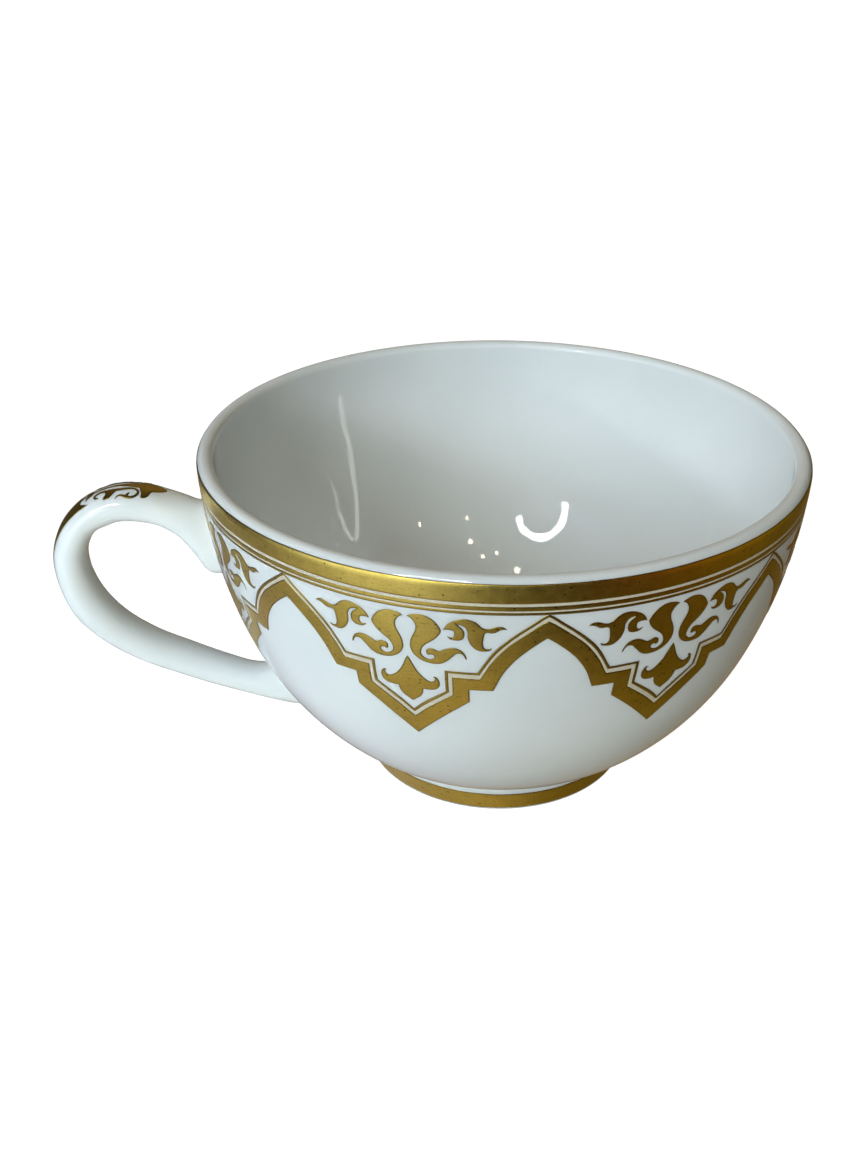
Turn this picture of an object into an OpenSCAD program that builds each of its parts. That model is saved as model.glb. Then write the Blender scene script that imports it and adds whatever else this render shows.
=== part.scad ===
// Tea cup: round bowl with a soft rounded lip, foot ring, loop handle and raised gilding.
// Millimetres, +Z up. The bowl's axis is Z, the foot rests on z = 0, the handle points along -X.

/* [Bowl] */
// radius the wall reaches level with its arc centre
rim_r = 50; // [35:0.5:70]
// height of the lip above the table
height = 59.5; // [40:0.5:90]
// height of the wall arc's centre
wall_centre_z = 61; // [45:0.5:95]
// radius of the upper wall arc
wall_arc_r = 88; // [60:1:140]
// radius of the belly arc below it
belly_arc_r = 51; // [30:1:80]
// wall thickness
wall_t = 2.7; // [1.5:0.1:4]
// radius of the lip's crown, more than half the wall
lip_r = 1.45; // [0.8:0.05:3]
// height of the inside floor on the axis
floor_z = 5.6; // [4:0.1:9]
// radius of the dished inside floor
floor_r = 90; // [50:5:200]
// height of the flat underside within the foot
base_z = 3; // [1.5:0.1:5]

/* [Foot] */
// outer radius of the foot at the table
foot_r = 23.4; // [15:0.1:35]
// outer radius of the foot where it meets the belly
foot_top_r = 25; // [15:0.1:36]
// height at which that radius is measured
foot_top_z = 5.6; // [3:0.1:9]
// inner radius of the foot
foot_in_r = 20.9; // [12:0.1:32]
// bevel of the foot's edges
foot_edge = 0.4; // [0.2:0.1:1]

/* [Handle] */
// width of the handle across the loop
handle_w = 8; // [5:0.1:12]
// part of that width lost towards the lower root
handle_taper = 0.18; // [0:0.02:0.4]
// squareness of its section (2 is an ellipse)
handle_power = 2.15; // [2:0.1:4]
// points round a section
handle_n = 24; // [12:4:48]
// steps between two control rungs
handle_steps = 3; // [1:1:6]

/* [Gilding] */
// thickness of the gilding
gilt_t = 0.2; // [0.05:0.05:0.4]
// repeats of the frieze round the cup
repeats = 8; // [4:1:16]
// top and bottom of the broad rim band, along the wall from the lip
rim_band_s = [0.9, 3.75];
// top and bottom of the rim stripe
rim_stripe_s = [4.2, 4.9];
// top and bottom of the fine rim line
rim_line_s = [5.2, 5.55];
// bottom and top of the gilt foot band
foot_band_z = [0.5, 4.2];

/* [Hidden] */
$fn = 96;
white = [0.93, 0.95, 0.96];
gold = [0.6, 0.47, 0.18];

// The wall arc passes into the belly arc on the line from the wall centre with this direction (a 44-117-125 triangle).
blend = [117 / 125, -44 / 125];
wall_c = [rim_r - wall_arc_r, wall_centre_z];
blend_p = wall_c + wall_arc_r * blend;
belly_c = blend_p - belly_arc_r * blend;
blend_in = blend_p - wall_t * blend;
lip_c = [wall_c[0] + wall_arc_r - wall_t / 2 - 0.04, height - lip_r];
// tilt of the wall at the lip's height, where wall lengths start
tilt0 = asin((wall_centre_z - height) / wall_arc_r);
// the point on the wall at a length s below the lip
function wall(s) = let (a = tilt0 + s / wall_arc_r * 180 / PI) wall_c + wall_arc_r * [cos(a), -sin(a)];

// Outer outline of the bowl, solid, from the base up to z = top.
module outer_2d(top) {
    intersection() {
        translate(wall_c) circle(r = wall_arc_r);
        translate([0, blend_p[1]]) square([rim_r + 10, top - blend_p[1]]);
    }
    intersection() {
        translate(belly_c) circle(r = belly_arc_r);
        translate([0, base_z]) square([rim_r + 10, blend_p[1] - base_z]);
    }
}

// Inner outline: the same arcs set in by the wall, over a dished floor.
module inner_2d() {
    intersection() {
        translate(wall_c) circle(r = wall_arc_r - wall_t);
        translate([0, blend_in[1]]) square([rim_r + 10, height + 5 - blend_in[1]]);
    }
    intersection() {
        translate(belly_c) circle(r = belly_arc_r - wall_t);
        translate([0, floor_z + floor_r]) circle(r = floor_r);
        translate([0, 0]) square([rim_r + 10, blend_in[1]]);
    }
}

module wall_2d() {
    difference() {
        outer_2d(height + 2);
        inner_2d();
    }
}

module bowl() {
    color(white) rotate_extrude() {
        intersection() {
            wall_2d();
            square([rim_r + 10, lip_c[1] + 0.1]);
        }
        intersection() {
            wall_2d();
            translate(lip_c) circle(r = lip_r);
        }
    }
}

function foot_wall_r(z) = foot_r + (foot_top_r - foot_r) * z / foot_top_z;

module foot_ring() {
    color(white) rotate_extrude() difference() {
        polygon([[foot_in_r, foot_edge], [foot_in_r + foot_edge, 0], [foot_wall_r(0) - foot_edge, 0],
            [foot_wall_r(foot_edge), foot_edge], [foot_wall_r(7), 7], [foot_in_r, 7]]);
        translate(belly_c) circle(r = belly_arc_r);
    }
}

// Handle: rungs across the strap, each [outer edge, inner edge] as [distance from the axis, height].
rungs = [
    [[42, 48.4], [42, 36.4]], [[46, 48.9], [46, 36.4]], [[50.2, 49.5], [49.6, 36.6]], [[52.5, 50.4], [51.9, 40.4]],
    [[55.2, 51.4], [54.5, 44]], [[58.9, 52.6], [58, 46.2]], [[63.3, 52.9], [62.9, 47]], [[67.6, 51.6], [65.6, 46.3]],
    [[71.1, 49.2], [67.7, 45.3]], [[73.8, 45.8], [69.1, 43.2]], [[75.4, 41], [69.8, 40.4]], [[75.2, 35.2], [69.3, 36.4]],
    [[73, 28.9], [67.5, 32.2]], [[68.3, 23.7], [64.4, 28.2]], [[62.7, 19.8], [59.7, 24.6]], [[56.7, 16.8], [54.4, 21.9]],
    [[50.9, 14.2], [49, 19.3]], [[45, 11.9], [43.6, 17.1]], [[39.2, 9.7], [39.4, 17]], [[34.5, 8.5], [35.6, 17.2]],
    [[29, 8], [31, 17.4]], [[25, 8], [27, 17.4]]];
function spline(a, b, c, d, t) = 0.5 * ((2 * b) + (c - a) * t + (2 * a - 5 * b + 4 * c - d) * t * t
    + (3 * b - a - 3 * c + d) * t * t * t);
// a rung at any place v along the list
function rung(v) = let (n = len(rungs), i = min(n - 2, floor(v)), t = v - i,
        a = rungs[max(0, i - 1)], b = rungs[i], c = rungs[i + 1], d = rungs[min(n - 1, i + 2)])
    [spline(a[0], b[0], c[0], d[0], t), spline(a[1], b[1], c[1], d[1], t)];
// width of the handle at v: full over the top and the back, narrower along the lower limb
function width(v) = let (t = max(0, min(1, (v - 12) / 5))) handle_w * (1 - handle_taper * t * t * (3 - 2 * t));
function soft(x) = sign(x) * pow(abs(x), 2 / handle_power);
// a point on the handle at place v and angle q round the section (0 is the back of the loop, 90 the -Y side), lifted by e
function strap(v, q, e = 0) = let (r = rung(v), m = (r[0] + r[1]) / 2, h = (r[0] - r[1]) / 2, k = 1 + e / norm(h),
        p = m + h * k * soft(cos(q)))
    [-p[0], -(width(v) / 2 + e) * soft(sin(q)), p[1]];

module sweep() {
    n = (len(rungs) - 1) * handle_steps;
    pts = [for (i = [0:n], j = [0:handle_n - 1]) strap(i / handle_steps, j * 360 / handle_n)];
    polyhedron(pts, concat(
        [[for (j = [0:handle_n - 1]) j]],
        [for (i = [0:n - 1], j = [0:handle_n - 1]) let (k = (j + 1) % handle_n)
            [i * handle_n + j, (i + 1) * handle_n + j, (i + 1) * handle_n + k]],
        [for (i = [0:n - 1], j = [0:handle_n - 1]) let (k = (j + 1) % handle_n)
            [i * handle_n + j, (i + 1) * handle_n + k, i * handle_n + k]],
        [[for (j = [handle_n - 1:-1:0]) n * handle_n + j]]));
}

module handle() {
    color(white) difference() {
        sweep();
        rotate_extrude() outer_2d(height);
    }
}

// A band of gilding round the wall between two wall lengths.
module wall_shell(s) {
    rotate_extrude() intersection() {
        difference() {
            translate(wall_c) circle(r = wall_arc_r + gilt_t);
            translate(wall_c) circle(r = wall_arc_r);
        }
        translate([rim_r / 2, wall(s[1])[1]]) square([rim_r, wall(s[0])[1] - wall(s[1])[1]]);
    }
}

module rim_band() { color(gold) wall_shell(rim_band_s); }
module rim_stripe() { color(gold) wall_shell(rim_stripe_s); }
module rim_line() { color(gold) wall_shell(rim_line_s); }

// Motifs are drawn on the unrolled wall: [degrees from the motif's middle, length below the lip].
step = 360 / repeats;
function flat(p) = let (w = wall(p[1])) [w[0] * sin(p[0] * step / 45), w[1]];
function mirrored(list) = [for (p = list) [-p[0], p[1]]];

// Lays a drawing on the wall at every repeat.
module lay(s) {
    for (i = [0:repeats - 1]) rotate(step * (i + 0.5)) intersection() {
        wall_shell(s);
        rotate([90, 0, 0]) linear_extrude(rim_r + 5) children();
    }
}

// half outline of the broad frieze band, from the arch's top to the point
band_up = [[22.6, 6.6], [21.5, 7.15], [20, 8.15], [18, 9.6], [16.2, 11.1], [14.8, 12.7], [13.6, 14.4], [12.6, 16.2], [12.1, 17.1],
    [7.4, 17.1], [7.4, 20.7], [5, 22.4], [2.6, 24.2], [0, 26.5]];
band_low = [[0, 30.6], [2.6, 28.2], [5.2, 25.9], [7.8, 23.8], [10.3, 21.9], [10.3, 19.35], [14.3, 19.35], [14.9, 17.9], [15.6, 16.3],
    [16.6, 14.7], [17.9, 13.1], [19.2, 11.9], [20.6, 10.8], [21.6, 10.1], [22.6, 9.5]];
// half outline of the fine line above it
line_up = [[22.6, 5.55], [21.6, 6.05], [20, 7.15], [18, 8.55], [16.2, 10], [14.6, 11.6], [13.4, 13.2], [12.4, 14.8], [11.7, 15.95],
    [6.3, 15.95], [6.3, 20.1], [4.2, 21.6], [2.2, 23.1], [0, 25]];
line_low = [[0, 25.45], [2.4, 23.4], [4.4, 21.9], [6.75, 20.25], [6.75, 16.3], [11.95, 16.3], [12.7, 15], [13.7, 13.4],
    [14.9, 11.8], [16.5, 10.2], [18.3, 8.75], [20.3, 7.35], [21.8, 6.3], [22.6, 5.85]];

module frieze_band() {
    color(gold) lay([6, 31]) polygon([for (p = concat(mirrored(band_up), [for (i = [len(band_up) - 2:-1:0]) band_up[i]],
        [for (i = [len(band_low) - 1:-1:0]) band_low[i]], [for (i = [1:len(band_low) - 1]) mirrored(band_low)[i]])) flat(p)]);
}
module frieze_line() {
    color(gold) lay([5.55, 26]) polygon([for (p = concat(mirrored(line_up), [for (i = [len(line_up) - 2:-1:0]) line_up[i]],
        [for (i = [len(line_low) - 1:-1:0]) line_low[i]], [for (i = [1:len(line_low) - 1]) mirrored(line_low)[i]])) flat(p)]);
}

// S-shaped leaf beside the motif's middle, with its curled foot
scroll = [[0.3, 6.9], [0.8, 6.65], [1.5, 6.45], [2.4, 6.35], [3.3, 6.45], [4.2, 6.8], [4.9, 7.3], [5.5, 8], [5.9, 8.7], [5.7, 9.2],
    [5.3, 9.8], [4.7, 10.4], [4, 10.9], [3.3, 11.4], [2.8, 11.9], [2.5, 12.5], [2.4, 13.1], [2.7, 13.6], [3.2, 13.95], [3.8, 14.05],
    [4.4, 13.85], [4.65, 13.5], [4.4, 13.2], [4, 13.15], [3.7, 13.3], [3.4, 13.2], [3.25, 12.8], [3.4, 12.3], [3.9, 12.05],
    [4.5, 12.05], [5.1, 12.3], [5.6, 12.35], [6.2, 12], [6.9, 11.7], [7.7, 11.55], [8.5, 11.65], [9.2, 12], [9.7, 12.6], [9.95, 13.3],
    [9.9, 13.55], [9.7, 13.4], [9.5, 12.9], [9.1, 12.55], [8.7, 12.5], [8.2, 12.65], [7.7, 13.1], [7.1, 13.7], [6.4, 14.3],
    [5.6, 14.7], [4.6, 14.85], [3.4, 14.75], [2.4, 14.45], [1.5, 13.9], [0.9, 13.2], [0.6, 12.4], [0.6, 11.6], [0.8, 10.8],
    [1.2, 10], [1.6, 9.2], [1.7, 8.4], [1.4, 7.7], [0.9, 7.2], [0.5, 7]];
// three-lobed leaf outside it
side = [[6.2, 8.55], [6.5, 8], [7, 7.4], [7.7, 6.95], [8.5, 6.65], [9.5, 6.45], [10.4, 6.5], [11.2, 6.75], [11.9, 7.25], [12.5, 7.75],
    [13.1, 7.9], [13.9, 7.75], [14.7, 7.5], [15.4, 7.45], [16, 7.65], [16.4, 7.95], [15.8, 7.95], [15.2, 8.1], [14.6, 8.45],
    [14, 8.6], [13.3, 8.55], [12.9, 8.7], [12.7, 9.3], [12.6, 10], [12.6, 10.7], [12.8, 11.2], [13.2, 11.4], [13.6, 11.35],
    [13.9, 11.15], [14, 11.35], [13.7, 11.65], [13.1, 11.8], [12.4, 11.85], [11.6, 11.65], [11, 11.2], [10.5, 10.6], [10.2, 9.9],
    [10.1, 9.2], [10.1, 8.6], [9.9, 8.1], [9.5, 7.7], [9, 7.5], [8.4, 7.4], [8.8, 7.7], [9.3, 8.1], [9.6, 8.7], [9.6, 9.4],
    [9.3, 9.9], [8.7, 10.15], [8, 10.2], [7.4, 10.1], [7, 9.8], [6.8, 9.5], [7.3, 9.7], [7.7, 9.7], [7.95, 9.4], [8, 9],
    [7.9, 8.65], [7.6, 8.5], [7.2, 8.45], [6.7, 8.45]];
// half of the palmette, from its spire down to its point
palm = [[0, 14], [0.35, 14.5], [0.7, 15.2], [1.1, 16], [1.6, 16.8], [2.2, 17.5], [2.9, 18.1], [3.5, 18.4], [4.1, 18.35], [4.4, 18],
    [4.4, 17.7], [4.1, 17.5], [4.4, 17.35], [4.8, 17.5], [5.1, 17.95], [5.25, 18.6], [5.1, 19.3], [4.6, 19.85], [3.9, 20.1],
    [3.1, 20.15], [2.3, 20.15], [2.2, 20.6], [2, 21.2], [1.5, 21.9], [0.7, 22.5], [0, 23]];

module scroll_leaves() {
    color(gold) lay([6, 15.5]) {
        polygon([for (p = scroll) flat(p)]);
        polygon([for (p = mirrored(scroll)) flat(p)]);
    }
}
module side_leaves() {
    color(gold) lay([6, 12.5]) {
        polygon([for (p = side) flat(p)]);
        polygon([for (p = mirrored(side)) flat(p)]);
    }
}
module palmettes() {
    color(gold) lay([13.5, 23.5])
        polygon([for (p = concat(palm, [for (i = [len(palm) - 2:-1:1]) mirrored(palm)[i]])) flat(p)]);
}

module foot_band() {
    z = foot_band_z;
    color(gold) rotate_extrude() polygon([[foot_wall_r(z[0]), z[0]], [foot_wall_r(z[0]) + gilt_t, z[0]],
        [foot_wall_r(z[1]) + gilt_t, z[1]], [foot_wall_r(z[1]), z[1]]]);
}

// Handle ornament on the back of the loop: a stem widening into a leaf, as [place v, half width in degrees].
stem = [[4.15, 1], [4.4, 9], [4.7, 14], [5, 14], [5.3, 9], [5.6, 5], [6, 4], [6.5, 4], [6.9, 4], [7.1, 8], [7.25, 17], [7.4, 30],
    [7.6, 36], [8.2, 37], [9, 36], [9.6, 30], [10.3, 16], [11, 5], [11.5, 1]];
// Curls on each side of it, as [place v, angle q, half width in mm].
curls = [
    [[4.85, 18.5, 0.5], [4.92, 26, 0.55], [5, 34, 0.4], [5.1, 43, 0.1]],
    [[6, 12, 0.2], [5.75, 12, 0.25], [5.54, 17, 0.25], [5.42, 27, 0.25], [5.46, 37, 0.22], [5.6, 44, 0.2], [5.76, 42, 0.15], [5.8, 36, 0.1]],
    [[6.27, 11, 0.4], [6.31, 20, 0.45], [6.38, 30, 0.35], [6.47, 41, 0.1]],
    [[6.52, 11, 0.25], [6.74, 11, 0.25], [6.9, 15, 0.22], [6.94, 22, 0.2], [6.88, 28, 0.15], [6.76, 28, 0.1]]];
// lengths of one unit of v and one degree of q near the ornament
v_mm = 4.5;
q_mm = 0.062;

// Closes a strip whose stations each hold w points round a thin section.
module strip(pts, w) {
    n = len(pts) / w - 1;
    polyhedron(pts, concat(
        [[for (j = [0:w - 1]) j]],
        [for (i = [0:n - 1], j = [0:w - 1]) let (m = (j + 1) % w) [i * w + j, (i + 1) * w + j, (i + 1) * w + m]],
        [for (i = [0:n - 1], j = [0:w - 1]) let (m = (j + 1) % w) [i * w + j, (i + 1) * w + m, i * w + m]],
        [[for (j = [w - 1:-1:0]) n * w + j]]));
}

module handle_leaf() {
    k = 6;
    side_of = [1, -1];
    color(gold) {
        strip([for (p = stem, j = [0:2 * k + 1]) let (f = (j <= k ? j : 2 * k + 1 - j) / k * 2 - 1)
            strap(p[0], p[1] * f, j <= k ? gilt_t : -0.05)], 2 * k + 2);
        for (c = curls, m = side_of) strip([for (i = [0:len(c) - 1]) let (
                a = c[max(0, i - 1)], b = c[min(len(c) - 1, i + 1)],
                d = [(b[0] - a[0]) * v_mm, (b[1] - a[1]) * q_mm], u = c[i][2] / norm(d))
            each [for (f = m * [-1, 1]) strap(c[i][0] - f * d[1] * u / v_mm, m * (c[i][1] + f * d[0] * u / q_mm), gilt_t),
                for (f = m * [1, -1]) strap(c[i][0] - f * d[1] * u / v_mm, m * (c[i][1] + f * d[0] * u / q_mm), -0.05)]], 4);
    }
}

bowl();
foot_ring();
handle();
rim_band();
rim_stripe();
rim_line();
frieze_band();
frieze_line();
scroll_leaves();
side_leaves();
palmettes();
foot_band();
handle_leaf();
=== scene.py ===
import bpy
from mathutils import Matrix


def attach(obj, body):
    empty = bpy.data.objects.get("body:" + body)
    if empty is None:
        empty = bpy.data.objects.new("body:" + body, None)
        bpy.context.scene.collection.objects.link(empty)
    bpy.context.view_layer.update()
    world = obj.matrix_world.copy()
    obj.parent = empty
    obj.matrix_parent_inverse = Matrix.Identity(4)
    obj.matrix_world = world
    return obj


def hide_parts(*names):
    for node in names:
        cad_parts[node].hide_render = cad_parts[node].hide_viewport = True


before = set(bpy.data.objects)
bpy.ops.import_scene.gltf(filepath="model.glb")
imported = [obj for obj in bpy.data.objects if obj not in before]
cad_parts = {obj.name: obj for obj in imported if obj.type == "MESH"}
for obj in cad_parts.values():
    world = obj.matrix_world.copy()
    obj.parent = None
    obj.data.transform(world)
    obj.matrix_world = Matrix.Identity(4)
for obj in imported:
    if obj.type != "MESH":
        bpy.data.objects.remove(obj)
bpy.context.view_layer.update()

import math

import bmesh
import bpy
import numpy as np
from mathutils import Matrix, Vector
from mathutils.geometry import delaunay_2d_cdt

# Lengths below are millimetres in the part's frame (bowl axis Z, foot on z = 0, handle along -X).
MM = 0.001
scene = bpy.context.scene
for node in [o for o in scene.objects if o.type in {"LIGHT", "CAMERA"}]:
    bpy.data.objects.remove(node)

# ---------------------------------------------------------------- camera
camera = bpy.data.objects.new("camera", bpy.data.cameras.new("camera"))
scene.collection.objects.link(camera)
scene.camera = camera
camera.data.sensor_width = 36.0
camera.data.lens = 40.625
camera.data.clip_start = 0.005
camera.data.clip_end = 60.0
right, up, ahead = (0.99675, -0.08045, -0.00449), (0.04246, 0.47706, 0.87785), (0.06848, 0.87518, -0.47892)
pose = Matrix((right, up, [-c for c in ahead])).transposed().to_4x4()
pose.translation = Vector((-27.1797, -198.41663, 142.01406)) * MM
camera.matrix_world = pose

# ---------------------------------------------------------------- outlines of the cup
RIM, TOP, ZC, R1, R2, WALL_T = 50.0, 59.5, 61.0, 88.0, 51.0, 2.7
BLEND = np.array([117 / 125, -44 / 125])
C1 = np.array([RIM - R1, ZC])
JOIN = C1 + R1 * BLEND
C2 = JOIN - R2 * BLEND
A0 = math.asin((ZC - TOP) / R1)
A1 = math.atan2(44, 117)
S1 = R1 * (A1 - A0)
FOOT_R, FOOT_TOP_R, FOOT_TOP_Z, FOOT_IN_R = 23.4, 25.0, 5.6, 20.9


def wall(s, lift=0.0):
    """[r, z] on the outside of the bowl, s along the wall from the level of the lip, lifted off it."""
    s = np.asarray(s, float)
    upper = s <= S1
    a = np.where(upper, A0 + s / R1, A1 + (s - S1) / R2)
    rad = np.where(upper, R1, R2) + lift
    return np.where(upper[..., None], C1, C2) + rad[..., None] * np.stack([np.cos(a), -np.sin(a)], -1)


def outer_r(z):
    z = np.asarray(z, float)
    upper = C1[0] + np.sqrt(np.maximum(R1**2 - (ZC - z) ** 2, 0))
    lower = C2[0] + np.sqrt(np.maximum(R2**2 - (C2[1] - z) ** 2, 0))
    return np.where(z >= JOIN[1], upper, lower)


def arc(c, r, a, b, n):
    t = np.linspace(a, b, n)
    return np.stack([c[0] + r * np.cos(t), c[1] + r * np.sin(t)], -1)


def bezier(p0, p1, p2, p3, n):
    t = np.linspace(0, 1, n)[:, None]
    p0, p1, p2, p3 = map(np.array, (p0, p1, p2, p3))
    return (1 - t) ** 3 * p0 + 3 * (1 - t) ** 2 * t * p1 + 3 * (1 - t) * t**2 * p2 + t**3 * p3


# ---------------------------------------------------------------- mesh helpers
def make(name, verts, faces, edge=None, merge=0.0, which=None):
    me = bpy.data.meshes.new(name)
    me.from_pydata((np.asarray(verts, float) * MM).tolist(), [], [[int(i) for i in f] for f in faces])
    if edge is not None:
        at = me.attributes.new("edge", "FLOAT", "POINT")
        at.data.foreach_set("value", np.asarray(edge, np.float32))
    if which is not None:
        me.polygons.foreach_set("material_index", np.asarray(which, np.int32))
    bm = bmesh.new()
    bm.from_mesh(me)
    if merge:
        bmesh.ops.remove_doubles(bm, verts=bm.verts, dist=merge * MM)
    bmesh.ops.recalc_face_normals(bm, faces=bm.faces)
    bm.to_mesh(me)
    bm.free()
    me.polygons.foreach_set("use_smooth", [True] * len(me.polygons))
    me.update()
    obj = bpy.data.objects.new(name, me)
    scene.collection.objects.link(obj)
    return obj


def hand_in(obj, node, slot, *materials):
    for material in materials:
        obj.data.materials.append(material)
    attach(obj, "root")
    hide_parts(node)
    return obj


def revolve(prof, n):
    """Turns an outline round Z. An outline that starts and ends on the axis is closed there, any other is a ring."""
    prof = np.asarray(prof, float)
    on_axis = abs(prof[0, 0]) < 1e-6
    body = prof[1:-1] if on_axis else prof
    t = np.arange(n) * 2 * math.pi / n
    m = len(body)
    verts = np.stack([body[:, None, 0] * np.cos(t), body[:, None, 0] * np.sin(t), np.repeat(body[:, 1:], n, 1)], -1).reshape(-1, 3)
    faces = []
    for i in range(m - 1 if on_axis else m):
        a, b = i * n, ((i + 1) % m) * n
        faces += [(a + j, a + (j + 1) % n, b + (j + 1) % n, b + j) for j in range(n)]
    if on_axis:
        verts = np.vstack([verts, [[0, 0, prof[0, 1]], [0, 0, prof[-1, 1]]]])
        p, q = m * n, m * n + 1
        faces += [(p, (j + 1) % n, j) for j in range(n)]
        faces += [(q, (m - 1) * n + j, (m - 1) * n + (j + 1) % n) for j in range(n)]
    return verts, faces


# ---------------------------------------------------------------- materials
class Tree:
    def __init__(self, owner):
        owner.use_nodes = True
        self.t = owner.node_tree
        self.t.nodes.clear()

    def add(self, kind, props=None, **sockets):
        n = self.t.nodes.new(kind)
        for k, v in (props or {}).items():
            setattr(n, k, v)
        for k, v in sockets.items():
            self.set(n, k, v)
        return n

    def set(self, n, key, v):
        key = int(key[1:]) if key[0] == "i" and key[1:].isdigit() else key.replace("_", " ")
        sock = n.inputs[key]
        if isinstance(v, bpy.types.NodeSocket):
            self.t.links.new(v, sock)
        else:
            sock.default_value = v

    def noise(self, co, scale, detail=3.0, rough=0.55):
        return self.add("ShaderNodeTexNoise", None, Vector=co, Scale=scale, Detail=detail, Roughness=rough).outputs["Fac"]

    def span(self, v, a, b, c, d, smooth=False):
        n = self.add("ShaderNodeMapRange", {"interpolation_type": "SMOOTHSTEP" if smooth else "LINEAR"})
        for k, x in zip(("Value", "From Min", "From Max", "To Min", "To Max"), (v, a, b, c, d)):
            self.set(n, k.replace(" ", "_"), x)
        return n.outputs["Result"]

    def math(self, op, a, b=0.0):
        return self.add("ShaderNodeMath", {"operation": op}, i0=a, i1=b).outputs[0]

    def mix(self, f, a, b, kind="MIX"):
        n = self.add("ShaderNodeMix", {"data_type": "RGBA", "blend_type": kind}, i0=f, i6=a, i7=b)
        return n.outputs[2]


def rgb(r, g, b):
    return (r, g, b, 1.0)


def porcelain_material():
    m = bpy.data.materials.new("glazed_porcelain")
    t = Tree(m)
    co = t.add("ShaderNodeTexCoord").outputs["Object"]
    cloud = t.span(t.noise(co, 55.0, 4.0), 0.3, 0.7, 0.0, 1.0, True)
    grain = t.noise(co, 900.0, 3.0)
    # iron specks under the glaze: sparse, a few tenths of a millimetre
    cells = t.add("ShaderNodeTexVoronoi", {"feature": "F1"}, Vector=co, Scale=110.0)
    rare = t.math("GREATER_THAN", t.add("ShaderNodeSeparateColor", None, Color=cells.outputs["Color"]).outputs[0], 0.93)
    speck = t.math("MULTIPLY", t.span(cells.outputs["Distance"], 0.008, 0.02, 1.0, 0.0, True), rare)
    body = t.mix(cloud, rgb(0.775, 0.79, 0.785), rgb(0.81, 0.82, 0.815))
    body = t.mix(t.span(grain, 0.25, 0.75, 0.0, 0.05), body, rgb(0.66, 0.66, 0.62))
    body = t.mix(t.math("MULTIPLY", speck, 0.45), body, rgb(0.36, 0.31, 0.24))
    # glaze: very slightly uneven thickness, as a coarse and a fine wave
    wave = t.math("ADD", t.math("MULTIPLY", t.noise(co, 130.0, 2.0), 0.9), t.math("MULTIPLY", t.noise(co, 480.0, 2.0), 0.1))
    bump = t.add("ShaderNodeBump", None, Strength=0.1, Distance=0.00025, Height=wave)
    rough = t.span(t.noise(co, 300.0, 3.0), 0.3, 0.7, 0.02, 0.05)
    shader = t.add("ShaderNodeBsdfPrincipled", None, Base_Color=body, Roughness=rough, Normal=bump.outputs["Normal"], IOR=1.5,
                   Subsurface_Weight=0.65, Subsurface_Radius=(1.0, 1.0, 1.0), Subsurface_Scale=0.0018)
    t.add("ShaderNodeOutputMaterial", None, Surface=shader.outputs["BSDF"])
    return m


def gold_material(name, deep, mid, light, rough_lo, rough_hi):
    m = bpy.data.materials.new(name)
    t = Tree(m)
    co = t.add("ShaderNodeTexCoord").outputs["Object"]
    edge = t.add("ShaderNodeAttribute", {"attribute_name": "edge"}).outputs["Fac"]
    # short level streaks, laid round the cup: angle about Z times 9 mm against height times 50 mm
    axes = t.add("ShaderNodeSeparateXYZ", None, Vector=co)
    turn = t.math("ARCTAN2", axes.outputs["X"], t.math("MULTIPLY", axes.outputs["Y"], -1.0))
    level = t.add("ShaderNodeCombineXYZ", None, X=t.math("MULTIPLY", turn, 0.009), Y=axes.outputs["Z"], Z=0.0).outputs[0]
    streak = t.span(t.noise(level, 3800.0, 2.0, 0.5), 0.6, 0.72, 0.0, 1.0, True)
    patch = t.span(t.noise(co, 260.0, 4.0, 0.6), 0.32, 0.68, 0.0, 1.0, True)
    grain = t.span(t.noise(co, 2600.0, 4.0, 0.65), 0.3, 0.7, 0.0, 1.0)
    tone = t.mix(patch, mid, light)
    tone = t.mix(t.span(grain, 0.0, 1.0, 0.35, 0.0), tone, deep)
    # pinholes in the firing, where the dark underlayer shows
    cells = t.add("ShaderNodeTexVoronoi", {"feature": "F1"}, Vector=co, Scale=950.0)
    rare = t.math("GREATER_THAN", t.add("ShaderNodeSeparateColor", None, Color=cells.outputs["Color"]).outputs[0], 0.58)
    pit = t.math("MULTIPLY", t.span(cells.outputs["Distance"], 0.08, 0.2, 1.0, 0.0, True), rare)
    tone = t.mix(t.math("MULTIPLY", pit, 0.85), tone, rgb(0.12, 0.07, 0.018))
    tone = t.mix(t.math("MULTIPLY", streak, 0.4), tone, rgb(0.2, 0.12, 0.03))
    # browner gold along the outline: partly thinner gold, partly a painted dark reflection off the rounded edge
    tone = t.mix(t.span(edge, 0.03, 0.3, 0.72, 0.0, True), tone, rgb(0.17, 0.105, 0.028))
    height = t.math("SUBTRACT", t.math("MULTIPLY", t.noise(co, 1500.0, 4.0, 0.6), 0.6), t.math("MULTIPLY", pit, 0.5))
    bump = t.add("ShaderNodeBump", None, Strength=0.35, Distance=0.00006, Height=height)
    rough = t.span(t.noise(co, 700.0, 3.0), 0.3, 0.7, rough_lo, rough_hi)
    shader = t.add("ShaderNodeBsdfPrincipled", None, Base_Color=tone, Metallic=1.0, Roughness=rough, Normal=bump.outputs["Normal"])
    t.add("ShaderNodeOutputMaterial", None, Surface=shader.outputs["BSDF"])
    return m


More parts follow.
